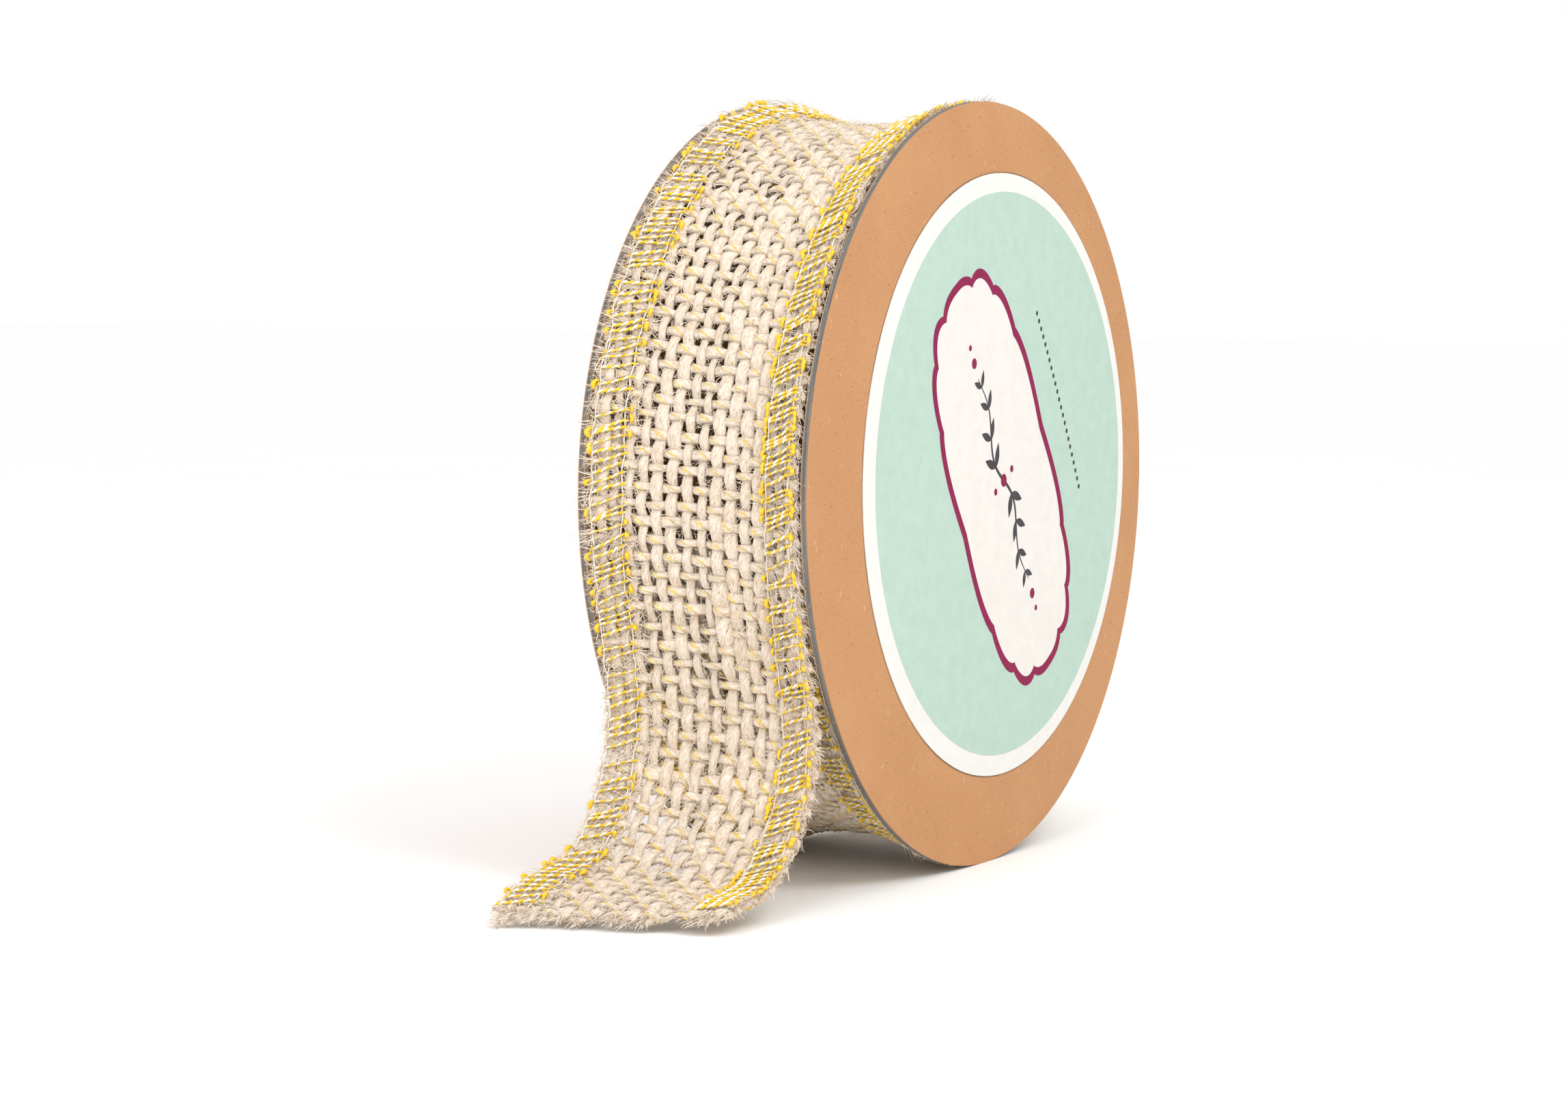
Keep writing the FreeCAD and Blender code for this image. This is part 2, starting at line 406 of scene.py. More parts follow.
def tufts(spots, seed, spread, per, reach):
    """Bundles of fibres at cut yarn ends, of which some lean over the flange's rim.
    spots are (s, v, h, direction in s, direction in v)."""
    r = np.random.default_rng(seed)
    spots = np.repeat(np.array(spots, float), per, 0)
    n = len(spots)
    t = np.linspace(0, 1, 4)[None, :]
    length = r.uniform(0.25, 1.0, n)[:, None] * reach
    side = r.normal(0, spread, n)[:, None]
    lift = r.normal(0.4, 0.35, n)[:, None]
    start = r.normal(0, 0.55, (n, 3))
    s = spots[:, 0:1] + start[:, 0:1] + length * t * (spots[:, 3:4] - spots[:, 4:5] * side)
    v = spots[:, 1:2] + start[:, 1:2] * 0.6 + length * t * (spots[:, 4:5] + spots[:, 3:4] * side)
    h = spots[:, 2:3] + start[:, 2:3] * 0.8 + length * t * lift - 0.25 * length * t * t
    v = np.clip(v, -19.6, 20.3)
    half = 0.085 * (1 - 0.7 * t) * r.uniform(0.6, 1.4, n)[:, None]
    left = place(s + half * np.abs(spots[:, 4:5]), v + half * np.abs(spots[:, 3:4]), h + half * 0.5)
    right = place(s - half * np.abs(spots[:, 4:5]), v - half * np.abs(spots[:, 3:4]), h - half * 0.5)
    pts = np.stack([left, right], 2)
    radius = np.hypot(pts[..., 0], pts[..., 2])
    over_rim = FLANGE_R + 0.15
    leaning = (np.abs(pts[..., 1]) > OVER_FLANGE_Y) & (s[..., None] < 0) & (radius < over_rim)
    pts[..., ::2] *= np.where(leaning, over_rim / radius, 1)[..., None]
    mark = np.zeros(pts.shape)
    mark[..., 1] = t[:, :, None] * 2
    mark[..., 2] = r.uniform(-0.3, 1, n)[:, None, None]
    return pts, grid_quads(n, 4, 2, False), mark


# ---------------------------------------------------------------- overlocking

def strands(start, end, outer, inner, spacing, seed, grouping, face=1):
    """Two-ply twisted threads across one edge band, between its outer and inner ends across the ribbon.
    face is 1 for the cloth's visible side and -1 for its underside."""
    r = np.random.default_rng(seed)
    places = []
    s = start + r.uniform(0, spacing)
    while s < end:
        places.append(s + r.normal(0, 0.12))
        gap = spacing * r.uniform(0.75, 1.25)
        s += gap * (2.1 if r.random() < grouping else 1)
    places = np.array(places)
    n = len(places)
    t = np.linspace(0, 1, 19)[None, :]
    reach = r.uniform(-0.25, 0.3, (n, 2))
    v = (outer + reach[:, :1]) + (inner - outer + reach[:, 1:] - reach[:, :1]) * t
    slope = r.uniform(0.25, 0.42, n)[:, None]
    s = places[:, None] + slope * (v - outer) + 0.12 * np.sin(t * 5 + r.uniform(0, TAU, n)[:, None])
    ends = smooth(np.minimum(t, 1 - t) / 0.1)
    h = face * (CLOTH_TOP - 0.4 + 0.68 * ends + r.uniform(0, 0.16, n)[:, None])
    centre = place(s, v, h)
    radius = 0.25 * r.uniform(0.85, 1.15, n)[:, None] * (0.8 + 0.2 * ends)
    up = np.array([0.3, 0.0, 1.0])
    across = np.cross(np.gradient(centre, axis=1), up)
    return tubes(centre, radius, radius, 8, across, 0.0, 2, TAU / 1.9, 0.28), places


def loops(places, edge, outward, share, start, end, seed):
    """Bright single-thread loops where the overlocking turns round at one side of its band."""
    r = np.random.default_rng(seed)
    chosen = places[(places > start + 1) & (places < end - 1) & (r.random(len(places)) < share)]
    n = len(chosen)
    t = np.linspace(0, 1, 11)[None, :]
    length = r.uniform(0.8, 1.7, n)[:, None]
    bulge = r.uniform(0.1, 0.55, n)[:, None]
    s = chosen[:, None] + r.normal(0, 0.2, n)[:, None] + length * (t - 0.5)
    v = edge + outward * (bulge * np.sin(math.pi * t) + 0.25 * (t - 0.5))
    h = CLOTH_TOP + 0.08 + 0.25 * np.sin(math.pi * t) - 0.3 * (1 - smooth(np.minimum(t, 1 - t) / 0.15))
    centre = place(s, np.clip(v, -19.0, 19.0), h)
    radius = 0.38 * r.uniform(0.7, 1.2, n)[:, None] * (0.45 + 0.55 * np.sin(math.pi * t))
    across = place(s, v + 0.5, h) - place(s, v - 0.5, h)
    return tubes(centre, radius, radius, 6, across, 0.0)


def edge_threads(start, end, edges, seed):
    """Thin pale threads that run along the ribbon and lock the ends of the stitches."""
    count = max(12, int((end - start) / 0.7))
    s = np.linspace(start, end, count)
    rows = []
    for k, v0 in enumerate(edges):
        v = v0 + 0.3 * waves(s, seed + k, (5, 11, 27))
        h = CLOTH_TOP + 0.05 + 0.2 * waves(s, seed + 7 + k, (3.4, 8))
        rows.append(place(s, v, h))
    rows = np.array(rows)
    return tubes(rows, 0.12, 0.12, 6, np.array([0.0, 1.0, 0.0]), 0.0)


def two_ply_slots(tube_count, rings):
    """Material index for each face of the strands: one lobe in each colour."""
    walls = np.tile(np.array([0, 0, 0, 1, 1, 1, 0, 0]), tube_count * (rings - 1))
    return np.concatenate([walls, np.zeros(tube_count * 6, int)])


# The two stitched bands: their ends across the ribbon, the stitches' spacing and how often a stitch is left
# out, and the share of stitches with a loop. The near band is sewn closer.
BANDS = {
    "near": dict(outer=-17.5, inner=-12.1, spacing=1.04, grouping=0.26, loops=0.55, seed=61),
    "far": dict(outer=18.1, inner=12.7, spacing=1.5, grouping=0.1, loops=0.4, seed=62),
}


def overlock(side, name, start, end):
    """Everything that is sewn along one edge between two places."""
    band = BANDS[side]
    low, high = sorted((band["outer"], band["inner"]))
    seed = band["seed"] + int(start + 1000)
    (pts, quads, mark), places = strands(start, end, low, high, band["spacing"], seed, band["grouping"])
    parts = [(pts, quads, two_ply_slots(len(places), pts.shape[1]), mark)]
    for edge, outward in ((low - 0.1, -1), (high + 0.1, 1)):
        parts.append(in_slot(loops(places, edge, outward, band["loops"], start, end, seed + outward)))
    parts.append(in_slot(edge_threads(start, end, (low + 0.55, high - 0.25), seed + 5), 2))
    if end > UNDERSIDE_FROM:
        clear = max(start, UNDERSIDE_FROM)
        (pts, quads, mark), places = strands(clear, end, low, high, band["spacing"], seed + 9,
                                             band["grouping"], -1)
        parts.append((pts, quads, two_ply_slots(len(places), pts.shape[1]), mark))
    return build(name, parts, [THREAD_YELLOW, THREAD_SILVER, THREAD_WHITE])


# ---------------------------------------------------------------- materials

def srgb(r, g, b):
    """A shader colour from screen values of 0 to 255."""
    c = np.array([r, g, b]) / 255
    return (*np.where(c <= 0.04045, c / 12.92, ((c + 0.055) / 1.055) ** 2.4).tolist(), 1.0)


class Finish:
    """A Principled material and the few node groups that the finishes here share."""

    def __init__(self, name, roughness=0.8, **sockets):
        self.material = bpy.data.materials.new(name)
        self.material.use_nodes = True
        self.tree = self.material.node_tree
        self.shader = self.tree.nodes["Principled BSDF"]
        self.shader.inputs["Roughness"].default_value = roughness
        for key, value in sockets.items():
            self.shader.inputs[key.replace("_", " ")].default_value = value

    def feed(self, socket, value):
        """Links another node's output to a socket, or sets the socket's own value."""
        if isinstance(value, bpy.types.NodeSocket):
            self.tree.links.new(value, socket)
        else:
            socket.default_value = value

    def add(self, kind, inputs=(), **settings):
        node = self.tree.nodes.new("ShaderNode" + kind)
        for key, value in settings.items():
            setattr(node, key, value)
        for key, value in dict(inputs).items():
            self.feed(node.inputs[key], value)
        return node

    def where(self, scale, turn=(0, 0, 0)):
        """Place on the object, in millimetres times scale."""
        spot = self.add("TexCoord").outputs["Object"]
        inputs = {"Vector": spot, "Rotation": turn, "Scale": [1000 * k for k in scale]}
        return self.add("Mapping", inputs).outputs[0]

    def yarn(self, scale):
        """Place on a yarn or thread: round it, along it, and its own number, times scale."""
        spot = self.add("Attribute", attribute_name="fibre").outputs["Vector"]
        spun = self.add("Mapping", {"Vector": spot, "Rotation": (0, 0, -0.3)}).outputs[0]
        return self.add("Mapping", {"Vector": spun, "Scale": scale}).outputs[0]

    def noise(self, vector, scale=1.0, detail=4.0, rough=0.55):
        inputs = {"Vector": vector, "Scale": scale, "Detail": detail, "Roughness": rough}
        return self.add("TexNoise", inputs).outputs["Fac"]

    def ramp(self, value, *stops):
        node = self.add("ValToRGB", {"Fac": value})
        for k, (position, colour) in enumerate(stops):
            element = node.color_ramp.elements[k] if k < 2 else node.color_ramp.elements.new(position)
            element.position = position
            element.color = colour if len(colour) == 4 else (*colour, 1)
        return node.outputs["Color"]

    def level(self, value, low, high, to_low=0.0, to_high=1.0):
        """A soft step: to_low where value is at low, to_high where it is at high."""
        inputs = {"Value": value, "From Min": low, "From Max": high, "To Min": to_low, "To Max": to_high}
        return self.add("MapRange", inputs, interpolation_type="SMOOTHSTEP").outputs[0]

    def mix(self, amount, a, b, blend="MIX"):
        node = self.add("Mix", data_type="RGBA", blend_type=blend)
        for index, value in ((0, amount), (6, a), (7, b)):
            self.feed(node.inputs[index], value)
        return node.outputs[2]

    def math(self, operation, a, b=0.0):
        node = self.add("Math", operation=operation)
        for socket, value in zip(node.inputs, (a, b)):
            self.feed(socket, value)
        return node.outputs[0]

    def colour(self, socket):
        self.tree.links.new(socket, self.shader.inputs["Base Color"])

    def bump(self, height, strength, depth_mm):
        node = self.add("Bump", {"Height": height, "Strength": strength, "Distance": depth_mm / 1000})
        self.tree.links.new(node.outputs[0], self.shader.inputs["Normal"])


def jute_finish(name, *tones):
    """Spun jute: streaks of fibre, from the darkest of four tones to the palest, that spiral round each yarn,
    and browner patches."""
    f = Finish(name, 0.78, Sheen_Weight=0.12, Sheen_Roughness=0.6)
    streaks = f.noise(f.yarn((3.4, 0.55, 7.0)), 1.6, 5, 0.6)
    colour = f.ramp(streaks, *[(at, srgb(*tone)) for at, tone in zip((0.28, 0.42, 0.56, 0.72), tones)])
    patches = f.level(f.noise(f.yarn((0.1, 0.09, 5.0)), 1.0, 2), 0.55, 0.78, 0, 0.4)
    colour = f.mix(patches, colour, srgb(222, 198, 160), "MULTIPLY")
    bark = f.level(f.noise(f.yarn((1.1, 0.8, 9.0)), 1.0, 1), 0.76, 0.79, 0, 0.8)
    f.colour(f.mix(bark, colour, srgb(120, 74, 44)))
    f.bump(streaks, 0.8, 0.22)
    return f.material


def thread_finish(name, light, dark, roughness, metallic):
    """Twisted thread with a fine lengthwise grain and small bright and dull stretches."""
    f = Finish(name, roughness, Metallic=metallic, Sheen_Weight=0.1)
    grain = f.noise(f.yarn((9, 1.3, 3)), 2.0, 3)
    f.colour(f.ramp(grain, (0.32, dark), (0.62, light)))
    f.bump(grain, 0.4, 0.06)
    return f.material


def kraft_finish(name, base, fleck, label_edge_shadow_and_glue=False):
    """Kraft paper: soft clouds, fine fibres lying mostly one way, and sparse dark and pale flecks.
    When asked, it is also darker in an uneven hairline round the label: painted shadow under the label's edge
    and a dirty glue line."""
    f = Finish(name, 0.72, Sheen_Weight=0.05)
    clouds = f.noise(f.where((0.05, 0.05, 0.05)), 1.0, 3)
    fibres = f.noise(f.where((0.5, 0.9, 2.6), (0, 0.35, 0)), 1.3, 6, 0.7)
    r, g, b = base
    colour = f.ramp(clouds, (0.3, srgb(r - 7, g - 8, b - 8)), (0.7, srgb(r + 5, g + 5, b + 5)))
    colour = f.mix(f.level(fibres, 0.3, 0.7, 0, 0.5), colour, srgb(r + 14, g + 16, b + 18))
    for size, turn in (((1.1, 1.6, 1.9), 0.9), ((3.2, 2.4, 1.9), -0.4)):
        specks = f.noise(f.where(size, (0, turn, 0)), 1.0, 2, 0.5)
        colour = f.mix(f.level(specks, 0.685, 0.73, 0, fleck), colour, srgb(104, 60, 32))
    pale = f.noise(f.where((1.3, 0.8, 0.5), (0, -0.5, 0)), 1.0, 3, 0.5)
    colour = f.mix(f.level(pale, 0.67, 0.77, 0, 0.28), colour, srgb(244, 206, 164))
    if label_edge_shadow_and_glue:
        centre = (LABEL_AT[0] / 1000, -FACE_Y / 1000, LABEL_AT[1] / 1000)
        from_centre = f.add("VectorMath", {0: f.add("TexCoord").outputs["Object"], 1: centre},
                            operation="DISTANCE").outputs["Value"]
        shadow_and_glue_line = f.level(from_centre, (LABEL_R + 0.4) / 1000, (LABEL_R + 0.1) / 1000)
        uneven = f.level(clouds, 0.35, 0.6, 0.35, 0.9)
        # Painted shadow under the label's edge, with a dirty glue line: a darker uneven hairline round the
        # label
        colour = f.mix(f.math("MULTIPLY", shadow_and_glue_line, uneven), colour, srgb(92, 62, 40))
    f.colour(colour)
    f.bump(fibres, 0.35, 0.08)
    return f.material


def board_finish(name, base, streak, grain):
    """Cut board: thin uneven layers of recycled fibre. grain is finest across the layers."""
    f = Finish(name, 0.85)
    layers = f.noise(f.where(grain), 1.0, 5, 0.65)
    grit = f.noise(f.where((1.6, 1.6, 1.6)), 1.0, 4)
    r, g, b = base
    colour = f.ramp(layers, (0.3, srgb(r - 34, g - 32, b - 28)), (0.7, srgb(r + 24, g + 22, b + 20)))
    f.colour(f.mix(f.level(grit, 0.6, 0.75, 0, 0.6), colour, srgb(*streak)))
    f.bump(f.math("ADD", layers, grit), 0.6, 0.15)
    return f.material


def printed_finish(name, base, grain):
    """Matt label paper: faint mottling of the given strength, a soft fibre texture, and a few creases at its
    upper left."""
    f = Finish(name, 0.6, Specular_IOR_Level=0.15)
    mottle = f.noise(f.where((0.35, 0.35, 0.35)), 1.0, 5, 0.7)
    fine = f.noise(f.where((2.2, 2.2, 2.2)), 1.0, 3, 0.6)
    darker, paler, palest = (srgb(*[c + k * grain for c in base]) for k in (-1, 1, 2))
    colour = f.ramp(mottle, (0.3, darker), (0.68, paler))
    f.colour(f.mix(f.level(fine, 0.6, 0.74, 0, 0.35), colour, palest))
    place_on_label = f.add("SeparateXYZ", {"Vector": f.add("TexCoord").outputs["Object"]}).outputs
    region = f.level(f.math("SUBTRACT", place_on_label["Z"], place_on_label["X"]), 0.032, 0.062)
    folds = f.noise(f.where((0.10, 0.1, 0.03), (0, -0.45, 0)), 1.0, 2, 0.4)
    off_crease = f.math("ABSOLUTE", f.math("SUBTRACT", folds, 0.5))
    ridges = f.math("MULTIPLY", f.math("SUBTRACT", 1.0, off_crease), region)
    height = f.math("ADD", f.math("MULTIPLY", ridges, 3.0), f.math("MULTIPLY", mottle, 0.3))
    f.bump(height, 0.5, 0.35)
    return f.material


def clear_finish(name, base, transmission):
    """Dried glue or thin adhesive tape: cloudy, slightly glossy."""
    f = Finish(name, 0.3, Transmission_Weight=transmission, IOR=1.45)
    cloud = f.noise(f.where((0.4, 0.4, 0.4)), 1.0, 4)
    r, g, b = base
    f.colour(f.ramp(cloud, (0.3, srgb(r - 22, g - 22, b - 26)), (0.7, srgb(r + 8, g + 8, b + 8))))
    f.bump(cloud, 0.3, 0.2)
    return f.material


JUTE = jute_finish("jute", (162, 131, 95), (222, 203, 180), (240, 224, 206), (253, 245, 233))
# The inner turns are the same jute as the outer turn in darker, browner tones: painted shade for the gaps
# between the outer turn's yarns and for the roll under the free end
JUTE_PAINTED_SHADE = jute_finish("jute_inner_turns_painted_shade", (104, 74, 40), (144, 112, 72), (166, 134, 92), (196, 166, 124))
# Loose fibres and tufts: the same jute in paler tones, painted light that makes up for the shade the dense
# tufts cast on themselves
FIBRE_PAINTED_LIGHT = jute_finish("jute_fibre_painted_light", (208, 190, 168), (222, 205, 185), (238, 223, 206), (253, 245, 234))
THREAD_YELLOW = thread_finish("overlock_yellow", srgb(252, 220, 48), srgb(228, 168, 14), 0.38, 0.1)
THREAD_SILVER = thread_finish("overlock_silver", srgb(254, 253, 248), srgb(226, 220, 202), 0.34, 0.1)
THREAD_WHITE = thread_finish("overlock_white", srgb(244, 238, 226), srgb(214, 202, 182), 0.6, 0.0)
LUREX = thread_finish("gold_lurex", srgb(255, 232, 128), srgb(222, 174, 56), 0.22, 0.5)
KRAFT = kraft_finish("kraft_face", (184, 130, 80), 0.55)
KRAFT_NEAR = kraft_finish("kraft_near_face", (184, 130, 80), 0.55, label_edge_shadow_and_glue=True)
LINER = kraft_finish("inner_paper", (186, 148, 108), 0.4)
GREYBOARD = board_finish("greyboard", (110, 108, 104), (160, 158, 152), (0.06, 3.2, 0.06))
TUBE = board_finish("core_board", (150, 130, 106), (196, 180, 156), (0.5, 0.12, 0.5))
LABEL_WHITE = printed_finish("label_paper", (224, 222, 217), 3)
LABEL_MINT = printed_finish("label_mint", (176, 199, 185), 4)
LABEL_PANEL = printed_finish("label_panel", (222, 217, 211), 4)
LABEL_PLUM = printed_finish("label_plum", (134, 18, 70), 5)
LABEL_GREY = printed_finish("label_grey", (66, 62, 66), 8)
GLUE = clear_finish("dried_glue", (226, 214, 180), 0.15)
TAPE = clear_finish("adhesive_tape", (214, 190, 140), 0.4)


# ---------------------------------------------------------------- CAD nodes that stay

def dress(node, finish, softened=0.0):
    """Gives a CAD node its material and, where softened is over 0, edges rounded by so many millimetres."""
    materials = NODES[node].data.materials
    materials.clear()
    materials.append(finish)
    if softened:
        bevel = NODES[node].modifiers.new("softened edges", "BEVEL")
        bevel.width = softened / 1000
        bevel.segments = 2
        bevel.limit_method = "ANGLE"


for side, face in (("near", KRAFT_NEAR), ("far", KRAFT)):
    dress(f"{side}_flange_board", GREYBOARD, 0.12)
    dress(f"{side}_flange_kraft_face", face, 0.07)
    dress(f"{side}_flange_inner_paper", LINER)
    dress(f"{side}_core_glue_ring", GLUE)
dress("core_tube", TUBE)
dress("face_label", LABEL_WHITE, 0.03)
dress("starter_tape", TAPE)


# ---------------------------------------------------------------- windings under the outer turn

def inner_windings():
    """The wound ribbon below the outer turn: its weave as relief, and its stacked edges at both sides."""
    weft_count, stitch_count = 130, 330
    edge_r, deep_r, core_r = 58.4, 45.0, 14.1
    cells = 8 * weft_count
    a = TAU * np.arange(cells)[:, None] / cells
    v = np.linspace(-18.9, 18.9, 105)[None, :]
    weft, warp = weft_count * a / 2, math.pi * (v / WARP_PITCH + 0.5)
    checker = np.cos(weft + 0.25 * waves(v, 20, (9, 21))) * np.cos(warp)
    cell = np.abs(np.sin(weft)) * np.abs(np.sin(warp))
    band = smooth((np.abs(v) - 11.2) / 1.2)
    stitch = 0.35 * band * np.abs(np.sin(stitch_count * a / 2 + 1.1 * np.abs(v)))
    sunk = SAG * (1 - (v / HALF_WIDTH) ** 2)
    radius = 58.85 - sunk + 0.35 * checker - 0.7 * cell * (1 - band) + stitch
    body = np.stack([radius * np.cos(a), v + 0 * a, radius * np.sin(a)], -1)
    rings = []
    for y, radii in ((HALF_WIDTH, (edge_r, deep_r, core_r)), (-HALF_WIDTH, (core_r, deep_r, edge_r))):
        for r in radii:
            rings.append(np.stack([r * np.cos(a), np.full(a.shape, y), r * np.sin(a)], -1))
    pts = np.concatenate([body, *rings], 1)
    mark = np.zeros(pts.shape)
    mark[..., 0] = np.arange(pts.shape[1])[None, :] * 0.36
    mark[..., 1] = a * 59
    mark[..., 2] = 0.3
    m, n = pts.shape[:2]
    i, j = np.meshgrid(np.arange(m), np.arange(n), indexing="ij")
    i2, j2 = (i + 1) % m, (j + 1) % n
    quads = np.stack([i * n + j, i * n + j2, i2 * n + j2, i2 * n + j], -1).reshape(-1, 4)
    # Dressed in the darker jute, which is painted shade
    obj = build("ribbon_inner_turns", [(pts, quads, 0, mark)], [JUTE_PAINTED_SHADE])
    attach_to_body(obj, "spool")
    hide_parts("ribbon_windings")


inner_windings()


# ---------------------------------------------------------------- the outer turn and the free end

def at(s):
    """Place on the ribbon's middle line, in metres."""
    x, z, _, _ = line(s)
    return float(x) / 1000, 0.0, float(z) / 1000


def attach(obj, part):
    """Attaches a piece of the outer turn to the outer turn's body; a piece of the free end only has its place
    baked into its mesh.
    """
    if part == "outer_turn":
        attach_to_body(obj, "outer_turn")
    elif part == "tail":
        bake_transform(obj)
    else:
        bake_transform(obj)
    return obj


def weft_ends(chosen):
    """Spots for tufts at the weft yarns' ends. The far ones on the roll reach up over the flange's rim."""
    spots = []
    for i in chosen:
        for v0 in (-17.8, 17.8):
            s0 = float(weft_s(i, v0))
            h0, outward = (0.5, 0.85) if v0 > 0 and s0 < TAIL_START else (0.1, 0.6)
            spots.append((s0, v0, h0, 0.7, math.copysign(outward, v0)))
    return spots


def warp_ends():
    """Spots for tufts along the last few millimetres of the warp yarns, at the cut end."""
    spots = []
    for j in range(WARPS):
        s0 = CUT_END + fray(j)
        for back in (0.4, 1.3, 2.2, 3.1):
            spots.append((s0 - back, float(warp_v(j, s0)), -0.1, 1.0, 0.0))
    return spots


def ribbon_part(part, start, end, hair_count):
    """One length of the ribbon: its yarns, gold slivers, loose fibres and both stitched bands."""
    frayed = end == CUT_END
    cad = "ribbon_" + part
    seed = int(start + 2000)
    warps = attach(build(cad + "_warps", [in_slot(warp_yarns(start, end, frayed=frayed))], [JUTE]), part)
    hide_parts(cad)
    weft_shape, chosen, v, lines = weft_yarns(start, end)
    wefts = attach(build(cad + "_wefts", [in_slot(weft_shape)], [JUTE]), part)
    slivers = build(cad + "_lurex", [in_slot(lurex_slivers(chosen, v, lines))], [LUREX])
    lurex = attach(slivers, part)
    long_hairs = hairs(hair_count, start, end, seed, (2.0, 5.5), 0.45, 0.035, 5)
    short_hairs = hairs(2 * hair_count, start, end, seed + 9, (0.8, 2.2), 0.5, 0.045, 3)
    band_hairs = hairs(2 * hair_count, start, end, seed + 13, (1.2, 3.8), 0.12, 0.06, 4, 11.0)
    all_hairs = [in_slot(shape) for shape in (long_hairs, short_hairs, band_hairs)]
    fuzz = attach(build(cad + "_fuzz", all_hairs, [FIBRE_PAINTED_LIGHT]), part)
    loose = [in_slot(tufts(weft_ends(chosen), seed + 1, 0.6, 32, 2.3))]
    if frayed:
        loose.append(in_slot(tufts(warp_ends(), seed + 2, 0.7, 46, 1.4)))
    edges = attach(build(cad + "_edge_fibres", loose, [FIBRE_PAINTED_LIGHT]), part)
    sewn_to = end - 1.2 if frayed else end
    for side in ("near", "far"):
        name = f"{side}_{STITCHED[part]}"
        sewn = attach(overlock(side, name + "_stitches", start, sewn_to), part)
        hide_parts(name)


STITCHED = {"outer_turn": "overlock_turn", "tail": "overlock_tail", "tail_tip": "overlock_tip"}
ribbon_part("outer_turn", TURN_START, TAIL_START, 8600)
ribbon_part("tail", TAIL_START, TIP_START, 680)
ribbon_part("tail_tip", TIP_START, CUT_END, 1500)


# ---------------------------------------------------------------- print on the label

MINT_AT = np.array([6.5, 1.4])
MINT_R = 47.3
PANEL_AT = np.array([6.25, 0.4])
PANEL_ALONG = np.array([0.5, -0.8660])
PANEL_ACROSS = np.array([0.8660, 0.5])


def flat_shape(name, outlines, layer, material):
    """Thin printed shapes on the label, the higher layers in front.
    Each outline is (outer points, inner points or None) in the XZ plane."""
    y = -(FACE_Y + LABEL_T + 0.014 * layer)
    points, faces = [], []
    for outer, inner in outlines:
        base, n = len(points), len(outer)
        points += [(x / 1000, y / 1000, z / 1000) for x, z in outer]
        if inner is None:
            faces.append(list(range(base, base + n)))
            continue
        points += [(x / 1000, y / 1000, z / 1000) for x, z in inner]
        faces += [[base + k, base + (k + 1) % n, base + n + (k + 1) % n, base + n + k] for k in range(n)]
    mesh = bpy.data.meshes.new(name)
    mesh.from_pydata(points, [], faces)
    mesh.materials.append(material)
    obj = bpy.data.objects.new(name, mesh)
    bpy.context.scene.collection.objects.link(obj)
    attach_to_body(obj, "spool")
    return obj


def panel(p, q):
    """Label-plane points for places along and across the panel's axes."""
    return PANEL_AT + np.outer(p, PANEL_ALONG) + np.outer(q, PANEL_ACROSS)


def scalloped(grow, n=720):
    """A plain oblong plaque with evenly scalloped sides, the same about both axes."""
    t = TAU * np.arange(n) / n
    c, s = np.cos(t), np.sin(t)
    p = np.sign(c) * np.abs(c) ** 0.72
    q = np.sign(s) * np.abs(s) ** 0.72
    lobes = 1 + 0.045 * (np.abs(np.cos(7 * t)) ** 0.7 - 0.6)
    return panel((36.5 * lobes + grow) * p, (17.5 * lobes + grow) * q)


def dot(centre, radius, n=20):
    """Outline of a round dot."""
    t = TAU * np.arange(n) / n
    return centre + radius * np.stack([np.cos(t), np.sin(t)], 1)


def pen_line(p, q, width):
    """A pen line along the given places on the panel, as quads between its two sides."""
    dp, dq = np.gradient(p), np.gradient(q)
    size = np.hypot(dp, dq)
    a = panel(p - dq / size * width / 2, q + dp / size * width / 2)
    b = panel(p + dq / size * width / 2, q - dp / size * width / 2)
    return [(np.array([a[k], a[k + 1], b[k + 1], b[k]]), None) for k in range(len(a) - 1)]


def leaf(p, q, way, flip, length, width):
    """A pointed leaf that leaves the stem at a slant, mirrored by way and flip."""
    t = np.linspace(0, 1, 17)
    half = width / 2 * np.sin(math.pi * t) ** 0.9 * (1.15 - 0.4 * t)
    along = np.concatenate([length * t, length * t[-2:0:-1]])
    aside = np.concatenate([half, -half[-2:0:-1]])
    slant = 0.75
    return panel(p + way * (along * math.cos(slant) - aside * math.sin(slant)),
                 q + flip * (along * math.sin(slant) + aside * math.cos(slant)))


def stem_bend(p):
    """How far the sprig's stem swings to the side at a place along the panel."""
    return 1.7 * np.sin(p * 0.31) * (1 - (p / 24) ** 2)


def sprig_leaves():
    """Leaves in fours, the same about both of the panel's axes and smaller towards the ends."""
    leaves = []
    for p in (3.5, 8.5, 13.5, 18.0):
        for way in (1, -1):
            for flip in (1, -1):
                shape = leaf(way * p, way * stem_bend(p), way, flip, 4.6 - 0.09 * p, 1.7 - 0.03 * p)
                leaves.append((shape, None))
    return leaves


def sprig_dots():
    """A large dot at the middle with one each side of it, and two past each end of the stem."""
    dots = [(0, 0, 1.1), (0, 3.6, 0.6), (0, -3.6, 0.6)]
    for p, radius in ((23, 0.9), (26, 0.5)):
        dots += [(p, 0, radius), (-p, 0, radius)]
    return [(dot(panel([p], [q])[0], radius), None) for p, q, radius in dots]


def dotted_rule():
    """A slightly bowed row of small dots beside the plaque."""
    places = np.arange(-17.6, 17.7, 1.6)
    return [(dot(panel([p], [25.6 - 0.0016 * p * p])[0], 0.42, 12), None) for p in places]


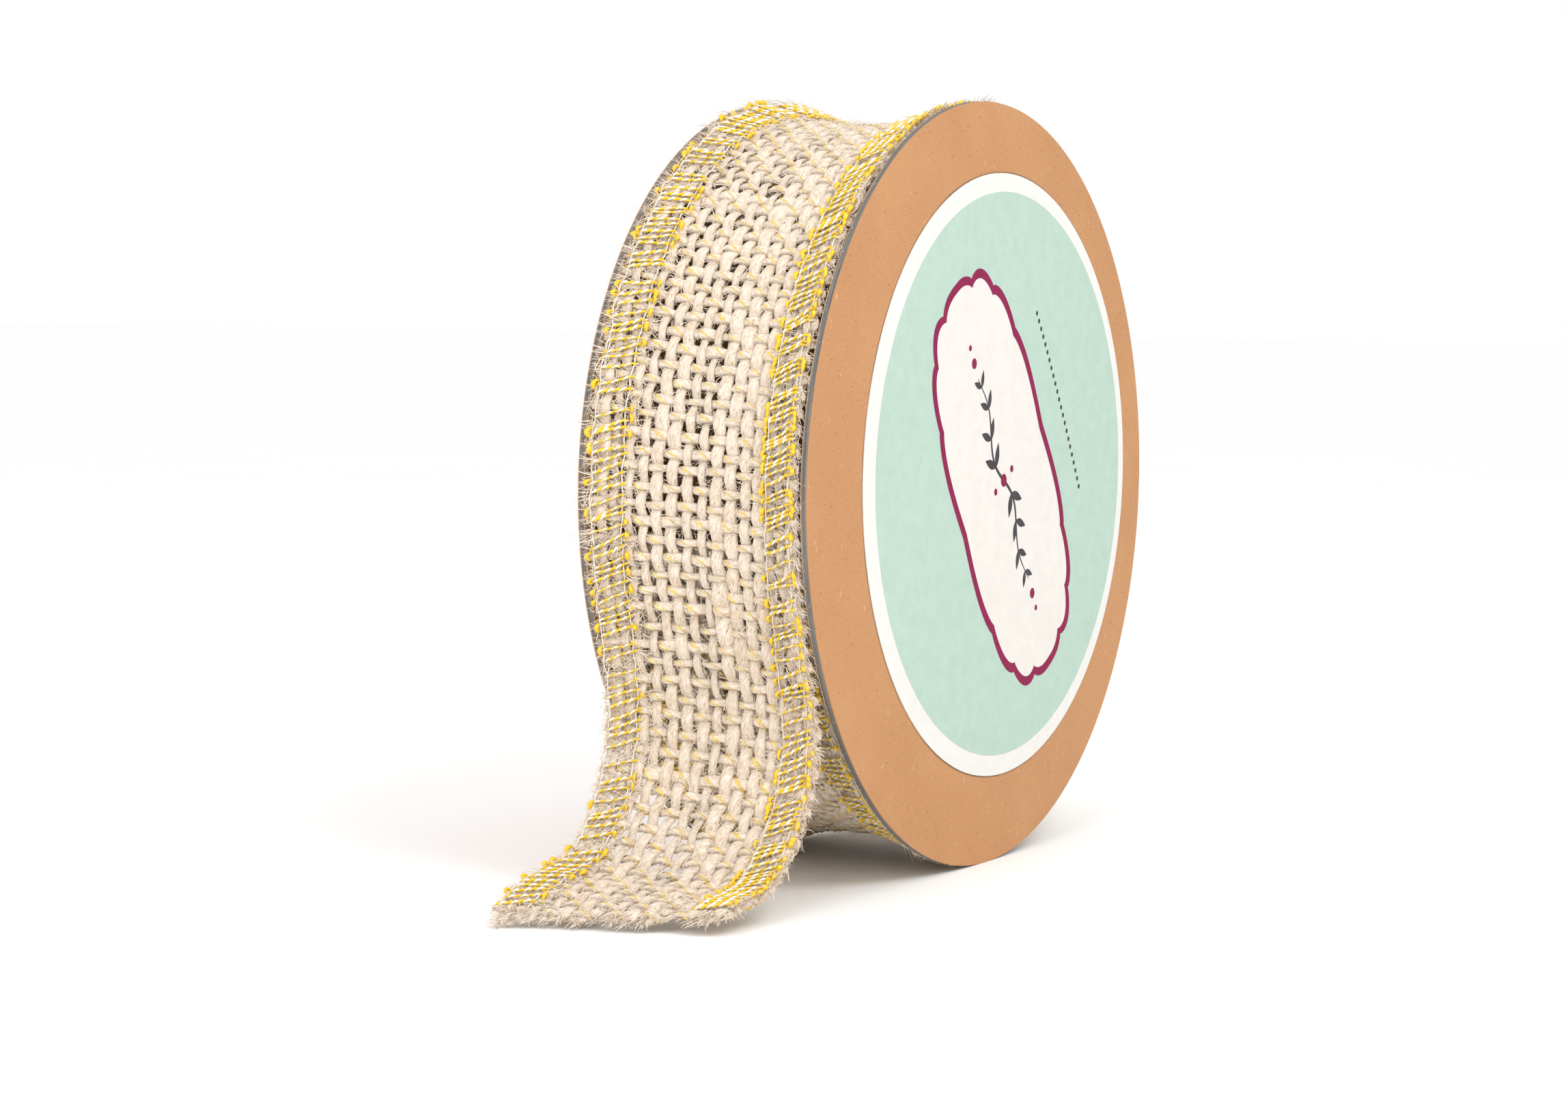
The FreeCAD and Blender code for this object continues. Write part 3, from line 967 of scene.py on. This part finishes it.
stem = np.linspace(-20, 20, 121)
pen_width = 0.16 + 0.5 * np.cos(stem / 20 * math.pi / 2)
flat_shape("label_mint_disc", [(dot(MINT_AT, MINT_R, 360), None)], 1, LABEL_MINT)
flat_shape("label_plaque_panel", [(scalloped(0.0), None)], 2, LABEL_PANEL)
flat_shape("label_plaque_border", [(scalloped(0.75), scalloped(-0.75))], 3, LABEL_PLUM)
flat_shape("label_ornament_stem", pen_line(stem, stem_bend(stem), pen_width), 3, LABEL_GREY)
flat_shape("label_ornament_leaves", sprig_leaves(), 4, LABEL_GREY)
flat_shape("label_ornament_dots", sprig_dots(), 5, LABEL_PLUM)
flat_shape("label_dotted_rule", dotted_rule(), 3, LABEL_GREY)


# ---------------------------------------------------------------- floor, light and camera

def floor():
    """A plain pale floor that the reel stands on."""
    f = Finish("floor", 0.9)
    clouds = f.noise(f.where((0.01, 0.01, 0.01)))
    f.colour(f.ramp(clouds, (0.3, (0.98, 0.98, 0.98)), (0.7, (0.99, 0.99, 0.99))))
    bpy.ops.mesh.primitive_plane_add(size=6, location=(0, 0, -FLANGE_R / 1000))
    plane = bpy.context.object
    plane.name = "floor"
    plane.data.materials.append(f.material)


def studio():
    """Even white surroundings."""
    world = bpy.data.worlds.new("studio")
    world.use_nodes = True
    background = world.node_tree.nodes["Background"]
    background.inputs["Color"].default_value = (1.0, 1.0, 1.0, 1)
    background.inputs["Strength"].default_value = 1.0
    bpy.context.scene.world = world


def area_light(name, location, size, power):
    """A round soft light that faces the middle of the reel."""
    data = bpy.data.lights.new(name, "AREA")
    data.shape = "DISK"
    data.size = size
    data.energy = power
    light = bpy.data.objects.new(name, data)
    bpy.context.scene.collection.objects.link(light)
    light.location = location
    x, y, z = location
    light.rotation_euler = (math.acos(z / math.hypot(x, y, z)), 0, math.atan2(-y, -x) - math.pi / 2)


def camera(location, pitch, heading, lens):
    """The view from a little above the middle, at the edge of the ribbon and the labelled face."""
    data = bpy.data.cameras.new("camera")
    data.sensor_width = 36.0
    data.lens = lens
    data.clip_start = 0.01
    obj = bpy.data.objects.new("camera", data)
    obj.location = location
    obj.rotation_euler = (math.radians(90 + pitch), 0, math.radians(heading))
    bpy.context.scene.collection.objects.link(obj)
    bpy.context.scene.camera = obj


floor()
studio()
area_light("key", (-0.2, -0.35, 0.35), 0.22, 0.9)
area_light("side", (-0.6, -0.1, 0.3), 0.3, 0.8)
camera((-0.61061, -0.31321, 0.04246), -4.498, -61.528, 93.35)
bpy.context.scene.view_settings.view_transform = "Standard"
